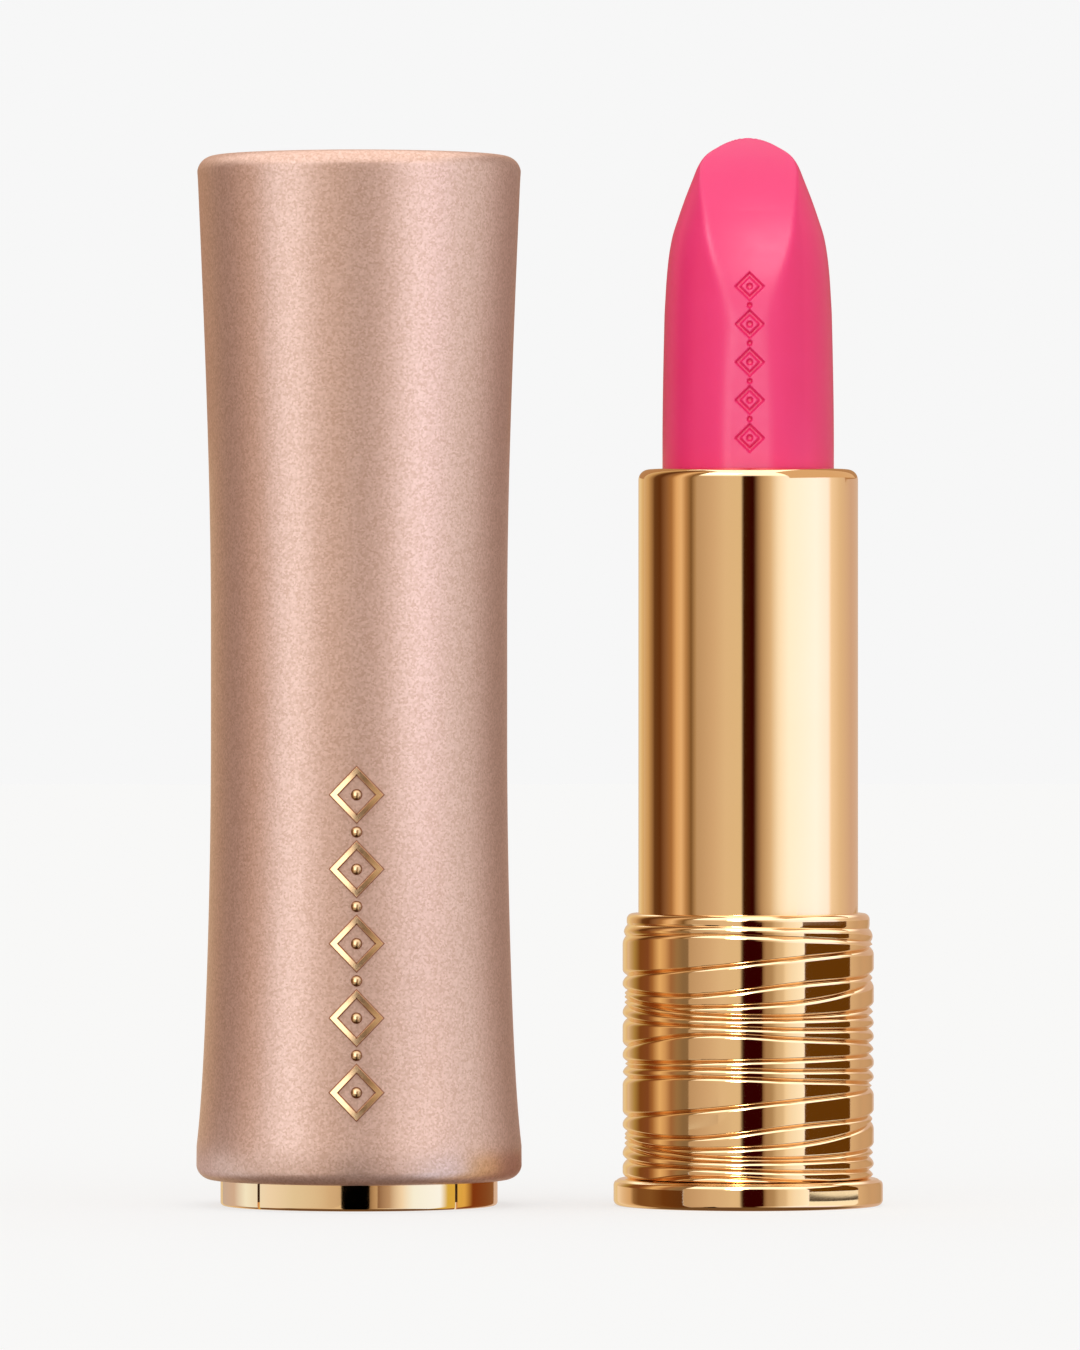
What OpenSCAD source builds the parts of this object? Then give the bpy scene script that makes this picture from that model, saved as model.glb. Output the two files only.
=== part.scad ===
// Twist-up lipstick case with a push-to-open cap.
// The base stands on the origin with its bullet raised, and the cap stands beside it at -X.
// Millimetres, +Z up, front of the case towards -Y.

/* [Layout] */
// Distance from the base's axis to the axis of the cap standing beside it
cap_offset = 27.46; // [24:0.02:60]

/* [Base] */
// Radius of the foot flange that the base stands on
foot_r = 9.5; // [9.4:0.05:9.8]
// Height of the foot flange
foot_h = 1.9; // [1.5:0.1:2.5]
// Radius of the wrapped skirt on its crests
skirt_r = 8.85; // [8.75:0.01:8.88]
// Height of the skirt's top rim above the table
skirt_top = 20.6; // [20:0.1:22]
// Depth of the creases between the wrapped bands
crease_depth = 0.28; // [0.1:0.02:0.34]

/* [Turning tube] */
// Outer radius of the gold tube round the bullet
tube_r = 7.75; // [7.7:0.01:7.78]
// Height of the tube's rolled top edge above the table
tube_top = 51.9; // [51.9:0.1:53]
// Radius of the rolled top edge
tube_edge_r = 0.75; // [0.5:0.05:0.8]

/* [Lift mechanism] */
// How far the bullet travels
travel = 24.4; // [20:0.1:24.4]
// Full turns from raised to lowered
turns = 2; // [1.5:0.1:2]
// Radius of each drive lug on the cup
lug_r = 0.8; // [0.6:0.05:0.8]
// Angle that each spiral groove spans in a level cut
groove_span = 63; // [63:1:70]

/* [Bullet] */
// Radius of the bullet
bullet_r = 6.05; // [5.9:0.01:6.1]
// Height of the raised bullet's tip above the table
bullet_tip = 75.4; // [74:0.1:76]
// Radius of the curved facet on the front of the tip
facet_r = 16; // [14:0.5:20]

/* [Cap] */
// Height of the whole cap
cap_h = 74; // [74:0.1:76]
// Radius at the waist of the cap
waist_r = 10.456; // [10.4:0.01:10.8]
// Radius of the gold collar at the cap's mouth
collar_r = 9.775; // [9.7:0.005:9.79]
// How far the gold collar shows below the sleeve
collar_show = 1.84; // [1.2:0.02:2.4]
// Width of the slits between the collar's spring fingers
slit_w = 0.24; // [0.15:0.01:0.5]

/* [Ornament] */
// Height of the ornament's lowest point above the table
ornament_z = 6.3; // [5:0.1:12]
// Length of the ornament
ornament_l = 24.8; // [16:0.1:30]
// Width of the ornament
ornament_w = 3.95; // [2:0.05:5]
// How far the ornament stands out of the sleeve
ornament_rise = 0.2; // [0.1:0.05:0.3]

/* [Hidden] */
$fn = 96;
eps = 0.01;

// Base shell
metal_t = 0.3;
shell_bore_r = 8.25;
shell_lip_r = tube_r + 0.1;
shell_lip_t = 0.5;
shell_rim_r = 0.5;
foot_edge_r = 0.4;
crease_w = 0.7;
// One row for each crease: height at the front, sideways lean, fore-and-aft lean (both degrees)
CREASES = [
    [18.9, 0.6, 0.4], [17.2, -1.8, 0.8], [15.3, -2.6, 0.5], [14.2, -0.8, 1.2],
    [13.1, 1.2, 0.9], [12.2, 2.6, -1.2], [10.6, -0.6, 0.8], [9.4, 0.7, -0.6],
    [7.2, -1.8, 0.8], [5.4, -2.6, 0.5], [4.3, -0.6, 1.0], [3.1, 1.0, 0.6]
];

// Slotted tube, and what turns on it
slot_tube_bore_r = 6.4;
slot_tube_r = 6.8;
slot_tube_foot_z = 6;
slot_tube_top = 50.9;
snap_r = 7.25;
snap_seat_r = 6.65;
snap_z = 48.8;
snap_h = 0.7;
flange_z = 12.9;
flange_h = 1.7;
flange_r = 7.38;
tube_bore_r = tube_r - metal_t;
tube_foot_z = 13.2;
tube_lip_r = bullet_r + 0.25;
sleeve_bore_r = 6.85;
sleeve_r = 7.44;
sleeve_z = 15;
sleeve_top = 46;
ring_wire_r = 0.3;

// Lift
lead = travel / turns;
cup_r = 6.35;
cup_z = 40;
cup_top = 51;
cup_floor_t = 2;
lug_z = 41.5;
lug_tip_r = 7.16;
groove_r = 7.3;
lug_play = 0.05;

// Base fittings
insert_seat_z = 6;
plate_z = 0.15;
plate_t = 0.8;
label_r = 6.9;
label_t = 0.12;
weight_top = 11.5;

// Cap
foot_corner_r = 1.1;
top_corner_r = 1.2;
sleeve_foot_r = 11.5;
sleeve_head_r = 11.42;
waist_low_z = 33;
waist_high_z = 41;
collar_bore_r = 9.4;
collar_top = 12.5;
slit_top = 8;
liner_low_r = 9;
liner_high_r = 8.1;
liner_step_z = 19.5;
shelf_z = 50.9;
shelf_top = 52.5;
sleeve_bore_low_r = 9.62;
sleeve_bore_high_r = 9.75;
roof_z = 72;
button_hole_r = 8;
ejector_r = 7.6;
ejector_bore_r = 6.7;
ejector_foot_z = 50.2;
ejector_flange_z = 62;
ejector_top = 70.9;
button_flange_r = 9;
spring_r = 8.5;
spring_wire_r = 0.25;
spring_turns = 5;

// Points on an arc about [x, y] in n equal steps
function arc(x, y, r, from, to, n = 8) =
    [for (i = [0:n]) let (a = from + (to - from) * i / n) [x + r * cos(a), y + r * sin(a)]];

// Outer radius of the waisted sleeve: a parabola with a quick flare below, a hyperbola above
function low_swell(t) = 0.845 * t * t + 0.185 * pow(t, 10);
function high_swell(d) = sqrt(1 + pow(0.0522 * d, 2)) - 1;
function sleeve_radius(z) =
    z < waist_low_z ? waist_r + low_swell((waist_low_z - z) / 29)
    : z > waist_high_z ? waist_r + high_swell(z - waist_high_z)
    : waist_r;

// Half outline of the sleeve from its lower corner to its upper corner, moved out by grow
function sleeve_outline(grow = 0) = concat(
    arc(sleeve_foot_r - foot_corner_r, collar_show + foot_corner_r, foot_corner_r + grow, -90, -8, 6),
    [for (z = [4.5:2.5:72]) [sleeve_radius(z) + grow, z]],
    arc(sleeve_head_r - top_corner_r, cap_h - top_corner_r, top_corner_r + grow, 4, 90, 6)
);

module ring(outer, inner, z, h) {
    translate([0, 0, z])
        difference() {
            cylinder(r = outer, h = h);
            translate([0, 0, -1])
                cylinder(r = inner, h = h + 2);
        }
}

module at_cap() {
    translate([-cap_offset, 0, 0])
        children();
}

// One V-shaped crease: a level ring leaned over so that it wraps round the skirt
module crease(z, lean_x, lean_y) {
    translate([0, 0, z])
        rotate([lean_y, lean_x, 37])
            rotate_extrude()
                polygon([
                    [skirt_r - crease_depth, 0],
                    [skirt_r + 0.1, -crease_w / 2],
                    [skirt_r + 0.1, crease_w / 2]
                ]);
}

// Gold shell: foot flange, wrapped skirt and the rim that the tube turns in
module base_shell() {
    color("goldenrod")
        difference() {
            rotate_extrude()
                polygon(concat(
                    [[shell_bore_r, 0]],
                    arc(foot_r - foot_edge_r, foot_edge_r, foot_edge_r, -90, 0, 4),
                    arc(foot_r - foot_edge_r, foot_h - foot_edge_r, foot_edge_r, 0, 90, 4),
                    [[skirt_r, foot_h]],
                    arc(skirt_r - shell_rim_r, skirt_top - shell_rim_r, shell_rim_r, 0, 90, 5),
                    [[shell_lip_r, skirt_top], [shell_lip_r, skirt_top - shell_lip_t],
                     [shell_bore_r, skirt_top - shell_lip_t]]
                ));
            for (c = CREASES)
                crease(c[0], c[1], c[2]);
        }
}

// Plastic core of the base: holds the weight, grips the slotted tube, guides the turning tube
module base_insert() {
    color("dimgray")
        rotate_extrude()
            polygon([
                [slot_tube_bore_r, plate_z + plate_t], [shell_bore_r, plate_z + plate_t],
                [shell_bore_r, skirt_top - shell_lip_t], [tube_r + 0.12, skirt_top - shell_lip_t],
                [tube_r + 0.12, flange_z], [slot_tube_r, flange_z],
                [slot_tube_r, insert_seat_z], [slot_tube_bore_r, insert_seat_z]
            ]);
}

// Steel slug that makes the base feel solid
module base_weight() {
    bevel = 0.4;
    r = slot_tube_bore_r - 0.04;
    color("slategray")
        rotate_extrude()
            polygon([
                [0, plate_z + plate_t], [r - bevel, plate_z + plate_t], [r, plate_z + plate_t + bevel],
                [r, weight_top - bevel], [r - bevel, weight_top], [0, weight_top]
            ]);
}

// Disc that closes the shell from below, with a shallow seat for the label
module bottom_plate() {
    color("goldenrod")
        difference() {
            translate([0, 0, plate_z])
                cylinder(r = shell_bore_r, h = plate_t);
            translate([0, 0, plate_z - 1])
                cylinder(r = label_r + 0.1, h = 1 + label_t);
        }
}

// Blank shade label under the base
module shade_label() {
    color("white")
        translate([0, 0, plate_z])
            cylinder(r = label_r, h = label_t);
}

// Inner tube with two upright slots: it keeps the cup from turning
module slotted_tube() {
    slot_foot = lug_z - travel - lug_r - 0.15;
    slot_head = lug_z + lug_r + 0.15;
    slot_w = 2 * (lug_r + lug_play);
    color("gainsboro")
        difference() {
            rotate_extrude()
                polygon([
                    [slot_tube_bore_r, slot_tube_foot_z], [slot_tube_r, slot_tube_foot_z],
                    [slot_tube_r, flange_z], [flange_r, flange_z],
                    [flange_r, flange_z + flange_h], [slot_tube_r, flange_z + flange_h],
                    [slot_tube_r, snap_z], [snap_seat_r, snap_z],
                    [snap_seat_r, snap_z + snap_h], [slot_tube_r, snap_z + snap_h],
                    [slot_tube_r, slot_tube_top], [slot_tube_bore_r, slot_tube_top]
                ]);
            for (side = [-1, 1])
                translate([side * slot_tube_r - 1, -slot_w / 2, slot_foot])
                    cube([2, slot_w, slot_head - slot_foot]);
        }
}

// Snap ring near the top of the slotted tube: it keeps the turning parts on
module retaining_ring() {
    gap = 1.2;
    color("silver")
        difference() {
            ring(snap_r, snap_seat_r, snap_z, snap_h);
            translate([-gap / 2, snap_seat_r - 1, snap_z - 1])
                cube([gap, 3, snap_h + 2]);
        }
}

// Gold tube round the bullet, with its top edge rolled inwards
module twist_tube() {
    edge_x = tube_r - tube_edge_r;
    edge_z = tube_top - tube_edge_r;
    inner_edge = tube_edge_r - metal_t;
    color("gold")
        rotate_extrude()
            polygon(concat(
                [[tube_bore_r, tube_foot_z], [tube_r, tube_foot_z]],
                arc(edge_x, edge_z, tube_edge_r, 0, 90, 8),
                arc(tube_lip_r + metal_t / 2, tube_top - metal_t / 2, metal_t / 2, 90, 270, 6),
                arc(edge_x, edge_z, inner_edge, 90, 0, 6)
            ));
}

// Level cut through one spiral groove, as a sector between the bore and the groove's floor
module groove_sector() {
    half = groove_span / 2;
    polygon(concat(
        arc(0, 0, sleeve_bore_r - 0.3, -half, half, 3),
        arc(0, 0, groove_r, half, -half, 6)
    ));
}

// Sleeve pressed into the turning tube: its two spiral grooves drive the cup's lugs
module spiral_sleeve() {
    reach = lead * groove_span / 720 + 0.13;
    foot = lug_z - travel - reach;
    rise = travel + 2 * reach;
    color("whitesmoke")
        difference() {
            ring(sleeve_r, sleeve_bore_r, sleeve_z, sleeve_top - sleeve_z);
            translate([0, 0, foot])
                rotate([0, 0, 360 * (foot - lug_z) / lead])
                    linear_extrude(height = rise, twist = -360 * rise / lead, slices = 78, segments = 11)
                        for (start = [0, 180])
                            rotate([0, 0, start])
                                groove_sector();
        }
}

// Thin washer that the spiral sleeve turns on
module glide_washer() {
    color("ivory")
        ring(flange_r, sleeve_bore_r, flange_z + flange_h + 0.03, 0.34);
}

// Silicone ring that gives the twist its smooth drag
module friction_ring() {
    color("tomato")
        translate([0, 0, (sleeve_top + snap_z) / 2])
            rotate_extrude()
                translate([(slot_tube_r + tube_bore_r) / 2 + eps, 0])
                    circle(r = ring_wire_r, $fn = 24);
}

// Cup that grips the foot of the bullet, with a drive lug on each side
module bullet_cup() {
    lug_root = bullet_r + 0.05;
    vent_r = 2;
    color("lightgray")
        union() {
            difference() {
                translate([0, 0, cup_z])
                    cylinder(r = cup_r, h = cup_top - cup_z);
                translate([0, 0, cup_z + cup_floor_t])
                    cylinder(r = bullet_r, h = cup_top);
                translate([0, 0, cup_z - 1])
                    cylinder(r = vent_r, h = cup_floor_t + 2);
            }
            for (side = [0, 180])
                rotate([0, 0, side])
                    translate([lug_root, 0, lug_z])
                        rotate([0, 90, 0])
                            cylinder(r = lug_r, h = lug_tip_r - lug_root);
        }
}

// Half outline of the bullet: upright body, soft ogive, then a rounded roof
module bullet_outline() {
    foot = cup_z + cup_floor_t;
    ogive_r = 15;
    ogive_z = bullet_tip - 11.1;
    tip_slope = 20;
    roof_slope = 46;
    apex_r = 1.9;
    polygon(concat(
        [[0, foot], [bullet_r, foot], [bullet_r, 52], [bullet_r - 0.21, ogive_z]],
        arc(bullet_r - 0.21 - ogive_r, ogive_z, ogive_r, 3, tip_slope, 5),
        arc(2.15, bullet_tip - 2.72, 1.5, tip_slope, roof_slope, 4),
        arc(0, bullet_tip - 1.25, apex_r, roof_slope, 90, 4)
    ));
}

// Colour stick, with a curved facet and an upright flat on its front
module bullet() {
    facet_z = bullet_tip - 13.4;
    flat_y = 5.76;
    color("deeppink")
        difference() {
            rotate_extrude()
                bullet_outline();
            translate([-8, -flat_y - 4, 53])
                cube([16, 4, facet_z - 53 + eps]);
            difference() {
                translate([-8, -flat_y - 4, facet_z])
                    cube([16, 14, 20]);
                translate([-9, facet_r - flat_y, facet_z])
                    rotate([0, 90, 0])
                        cylinder(r = facet_r, h = 18);
            }
        }
}

// Waisted outer sleeve of the cap, bored for the collar, the liner and the button
module cap_sleeve() {
    color("rosybrown")
        at_cap()
            difference() {
                rotate_extrude()
                    polygon(concat([[0, collar_show]], sleeve_outline(), [[0, cap_h]]));
                translate([0, 0, -1])
                    cylinder(r = collar_r, h = collar_top + 1.1);
                cylinder(r = sleeve_bore_low_r, h = shelf_top + 0.5);
                translate([0, 0, shelf_top])
                    cylinder(r = sleeve_bore_high_r, h = roof_z - shelf_top);
                cylinder(r = button_hole_r, h = cap_h + 1);
            }
}

// Lozenge frame round a bead, drawn flat
module lozenge(w, h, stroke, bead) {
    difference() {
        polygon([[0, -h / 2], [w / 2, 0], [0, h / 2], [-w / 2, 0]]);
        polygon([[0, -h / 2 + stroke], [w / 2 - stroke, 0], [0, h / 2 - stroke], [-w / 2 + stroke, 0]]);
    }
    circle(r = bead, $fn = 24);
}

// Raised chain of lozenges and beads up the front of the cap
module cap_ornament() {
    count = 5;
    stroke = 0.72;
    bead_r = 0.4;
    gap = 0.15;
    pitch = (ornament_l + 2 * (bead_r + gap)) / count;
    lozenge_h = pitch - 2 * (bead_r + gap);
    color("gold")
        at_cap()
            intersection() {
                rotate_extrude()
                    difference() {
                        polygon(concat([[5, collar_show]], sleeve_outline(ornament_rise), [[5, cap_h]]));
                        polygon(concat([[0, collar_show - 1]], sleeve_outline(), [[0, cap_h + 1]]));
                    }
                translate([0, -8, ornament_z])
                    rotate([90, 0, 0])
                        linear_extrude(height = 5)
                            for (i = [0:count - 1])
                                translate([0, i * pitch]) {
                                    translate([0, lozenge_h / 2])
                                        lozenge(ornament_w, lozenge_h, stroke, bead_r);
                                    if (i < count - 1)
                                        translate([0, lozenge_h + gap + bead_r])
                                            circle(r = bead_r, $fn = 24);
                                }
            }
}

// Gold collar at the mouth, slit into four spring fingers
module cap_collar() {
    edge_r = 0.25;
    color("gold")
        at_cap()
            difference() {
                rotate_extrude()
                    polygon(concat(
                        [[collar_bore_r, 0]],
                        arc(collar_r - edge_r, edge_r, edge_r, -90, 0, 4),
                        [[collar_r, collar_top], [collar_bore_r, collar_top]]
                    ));
                for (turn = [45:90:315])
                    rotate([0, 0, turn])
                        translate([9, -slit_w / 2, -1])
                            cube([2, slit_w, slit_top + 1]);
            }
}

// Plastic liner: centres the base and the tube, and its shelf carries the spring
module cap_liner() {
    bead = 0.07;
    bead_z = 3.6;
    waist_r = 8.9;
    land = 2.5;
    bevel = 0.7;
    guide_r = ejector_r + 0.08;
    color("lightgray")
        at_cap()
            rotate_extrude()
                polygon([
                    [liner_low_r, 0.5], [collar_bore_r, 0.5],
                    [collar_bore_r, collar_top], [sleeve_bore_low_r, collar_top],
                    [sleeve_bore_low_r, liner_step_z + land], [waist_r, liner_step_z + land + bevel],
                    [waist_r, shelf_z - land - bevel], [sleeve_bore_low_r, shelf_z - land],
                    [sleeve_bore_low_r, shelf_top], [guide_r, shelf_top],
                    [guide_r, shelf_z], [liner_high_r, shelf_z - 0.4],
                    [liner_high_r, liner_step_z + 0.6], [liner_low_r, liner_step_z],
                    [liner_low_r, bead_z + 1], [liner_low_r - bead, bead_z + 0.7],
                    [liner_low_r - bead, bead_z + 0.3], [liner_low_r, bead_z]
                ]);
}

// Push button in the top of the cap, held in by its flange
module cap_button() {
    face_r = button_hole_r - 0.09;
    face_z = cap_h - 0.3;
    edge_r = 0.3;
    flange_top = roof_z - 0.06;
    groove_r = 5.9;
    groove_d = 0.25;
    dish_r = 4.6;
    dish_d = 0.35;
    color("rosybrown")
        at_cap()
            rotate_extrude()
                polygon(concat(
                    [[0, ejector_top], [button_flange_r, ejector_top],
                     [button_flange_r, flange_top], [face_r, flange_top]],
                    arc(face_r - edge_r, face_z - edge_r, edge_r, 0, 90, 4),
                    [[groove_r + 0.3, face_z], [groove_r, face_z - groove_d],
                     [groove_r - 0.5, face_z - groove_d], [groove_r - 0.8, face_z],
                     [dish_r, face_z], [0, face_z - dish_d]]
                ));
}

// Plunger under the button: it pushes the tube's top edge and frees the base
module ejector_tube() {
    flange_r = 9.3;
    flange_t = 1;
    color("whitesmoke")
        at_cap()
            rotate_extrude()
                polygon([
                    [ejector_bore_r, ejector_foot_z], [ejector_r, ejector_foot_z],
                    [ejector_r, ejector_flange_z], [flange_r, ejector_flange_z],
                    [flange_r, ejector_flange_z + flange_t], [ejector_r, ejector_flange_z + flange_t],
                    [ejector_r, ejector_top], [ejector_bore_r, ejector_top]
                ]);
}

// Rings of points along a helix, one ring of sides points for each step
function coil_points(r, wire, turns, z0, rise, steps, sides) =
    [for (i = [0:steps]) for (j = [0:sides - 1])
        let (a = 360 * turns * i / steps, b = 360 * j / sides, d = r + wire * cos(b))
            [d * cos(a), d * sin(a), z0 + rise * i / steps + wire * sin(b)]];

function coil_faces(steps, sides) = concat(
    [[for (j = [0:sides - 1]) j]],
    [for (i = [0:steps - 1]) for (j = [0:sides - 1])
        let (a = i * sides + j, b = i * sides + (j + 1) % sides)
            [a, a + sides, b + sides, b]],
    [[for (j = [sides - 1:-1:0]) steps * sides + j]]
);

// Return spring between the liner's shelf and the plunger's flange
module button_spring() {
    steps = spring_turns * 18;
    sides = 8;
    low = shelf_top + spring_wire_r + 0.02;
    high = ejector_flange_z - spring_wire_r - 0.02;
    color("silver")
        at_cap()
            polyhedron(
                points = coil_points(spring_r, spring_wire_r, spring_turns, low, high - low, steps, sides),
                faces = coil_faces(steps, sides),
                convexity = 10
            );
}

base_shell();
base_insert();
base_weight();
bottom_plate();
shade_label();
slotted_tube();
retaining_ring();
twist_tube();
spiral_sleeve();
glide_washer();
friction_ring();
bullet_cup();
bullet();
cap_sleeve();
cap_ornament();
cap_collar();
cap_liner();
cap_button();
ejector_tube();
button_spring();
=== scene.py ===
"""Looks for the lipstick case: wrapped gold base with its stick raised, and the satin cap beside it."""
import math

import bmesh
import bpy
import numpy as np
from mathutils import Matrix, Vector


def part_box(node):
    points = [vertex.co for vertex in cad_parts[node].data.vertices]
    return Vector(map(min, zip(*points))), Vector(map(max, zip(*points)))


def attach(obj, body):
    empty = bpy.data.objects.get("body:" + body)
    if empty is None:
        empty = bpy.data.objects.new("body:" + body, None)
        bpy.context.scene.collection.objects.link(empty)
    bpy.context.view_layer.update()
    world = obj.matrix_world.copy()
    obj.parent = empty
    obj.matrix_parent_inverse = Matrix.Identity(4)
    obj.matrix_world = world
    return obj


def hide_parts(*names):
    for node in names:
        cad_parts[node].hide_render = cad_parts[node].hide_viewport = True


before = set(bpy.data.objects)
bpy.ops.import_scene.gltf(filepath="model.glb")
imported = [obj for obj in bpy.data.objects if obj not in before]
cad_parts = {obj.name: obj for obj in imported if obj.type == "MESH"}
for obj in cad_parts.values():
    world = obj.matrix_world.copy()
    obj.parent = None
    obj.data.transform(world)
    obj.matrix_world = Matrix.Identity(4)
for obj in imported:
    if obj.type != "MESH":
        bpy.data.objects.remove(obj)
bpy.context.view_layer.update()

MM = 0.001


def span(node):
    """Lowest and highest corner of a CAD node, in millimetres."""
    low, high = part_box(node)
    return [v / MM for v in low], [v / MM for v in high]


# ---------------------------------------------------------------- sizes, in millimetres, from the frame
SHELL_HIGH = span("base_shell")[1]
TUBE_LOW, TUBE_HIGH = span("twist_tube")
STICK_LOW, STICK_HIGH = span("bullet")
SLEEVE_LOW, SLEEVE_HIGH = span("cap_sleeve")
COLLAR_LOW, COLLAR_HIGH = span("cap_collar")
BUTTON_LOW, BUTTON_HIGH = span("cap_button")
ORNAMENT_LOW, ORNAMENT_HIGH = span("cap_ornament")

CAP_X = (SLEEVE_LOW[0] + SLEEVE_HIGH[0]) / 2
CAP_TOP = SLEEVE_HIGH[2]
SLEEVE_FOOT = SLEEVE_LOW[2]
COLLAR_R = (COLLAR_HIGH[1] - COLLAR_LOW[1]) / 2
TUBE_R = TUBE_HIGH[0]
TUBE_TOP = TUBE_HIGH[2]
STICK_R = STICK_HIGH[0]
STICK_FOOT = STICK_LOW[2]
STICK_TIP = STICK_HIGH[2]
FOOT_R = SHELL_HIGH[0]
SKIRT_TOP = SHELL_HIGH[2]

# ---------------------------------------------------------------- sizes that the boxes don't give
FOOT_H = 1.9
TUBE_WALL = 0.3


# ---------------------------------------------------------------- mesh helpers
def arc(x, z, radius, start, end, steps):
    """Points on an arc about (x, z), angles in degrees."""
    turns = np.radians(np.linspace(start, end, steps + 1))
    return [(x + radius * math.cos(t), z + radius * math.sin(t)) for t in turns]


def stretch(a, b, steps):
    """Points from a to b, without b."""
    return [(a[0] + (b[0] - a[0]) * i / steps, a[1] + (b[1] - a[1]) * i / steps) for i in range(steps)]


def cubic(x, px, py, tangent):
    """Curve through the points (px, py) with the given slope at each."""
    i = np.clip(np.searchsorted(px, x) - 1, 0, len(px) - 2)
    h = px[i + 1] - px[i]
    t = np.clip((x - px[i]) / h, 0, 1)
    return (
        (1 + 2 * t) * (1 - t) ** 2 * py[i] + t * (1 - t) ** 2 * h * tangent[i]
        + t * t * (3 - 2 * t) * py[i + 1] - t * t * (1 - t) * h * tangent[i + 1]
    )


def curve_through(x, points):
    """Smooth curve through points, which never overshoots them."""
    px, py = np.array(points, float).T
    slope = np.diff(py) / np.diff(px)
    both = slope[:-1] * slope[1:]
    middle = np.where(both > 0, 2 * both / np.where(both > 0, slope[:-1] + slope[1:], 1), 0)
    return cubic(x, px, py, np.concatenate([[slope[0]], middle, [slope[-1]]]))


def smooth_through(x, points):
    """Smooth curve through points, with the slope at each taken from its neighbours."""
    px, py = np.array(points, float).T
    return cubic(x, px, py, np.gradient(py, px))


def soft_min(a, b, width):
    """The lower of two values, rounded where they cross."""
    h = np.clip(width - np.abs(a - b), 0, None) / width
    return np.minimum(a, b) - h * h * width / 4


# Points closer than this many metres are joined
WELD = 1e-7


def finish_mesh(name, verts, faces, sharp=35.0):
    """Object from millimetre points, smooth but for edges sharper than the given angle."""
    mesh = bpy.data.meshes.new(name)
    mesh.from_pydata([tuple(c * MM for c in v) for v in verts], [], faces)
    bm = bmesh.new()
    bm.from_mesh(mesh)
    bmesh.ops.remove_doubles(bm, verts=bm.verts, dist=WELD)
    bmesh.ops.recalc_face_normals(bm, faces=bm.faces)
    limit = math.radians(sharp)
    for face in bm.faces:
        face.smooth = True
    for edge in bm.edges:
        edge.smooth = len(edge.link_faces) != 2 or edge.calc_face_angle(0.0) < limit
    bm.to_mesh(mesh)
    bm.free()
    obj = bpy.data.objects.new(name, mesh)
    bpy.context.scene.collection.objects.link(obj)
    return obj


def grid_faces(rows, columns, close_rows):
    """Quads between rings of points; each ring closes on itself, and the last ring may join the first."""
    faces = []
    last = rows if close_rows else rows - 1
    for i in range(last):
        low = i * columns
        high = ((i + 1) % rows) * columns
        for j in range(columns):
            k = (j + 1) % columns
            faces.append((low + j, low + k, high + k, high + j))
    return faces


def lathe(name, outline, centre_x=0.0, columns=256, sharp=35.0):
    """Closed solid of revolution; the outline is a loop of (radius, height)."""
    turns = np.linspace(0, 2 * math.pi, columns, endpoint=False)
    verts = [
        (centre_x + r * math.sin(t), -r * math.cos(t), z)
        for r, z in outline
        for t in turns
    ]
    return finish_mesh(name, verts, grid_faces(len(outline), columns, True), sharp)


# ---------------------------------------------------------------- node helpers
# Sockets of a colour mix
MIX_FACTOR, MIX_FIRST, MIX_SECOND, MIX_RESULT = 0, 6, 7, 2


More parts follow.
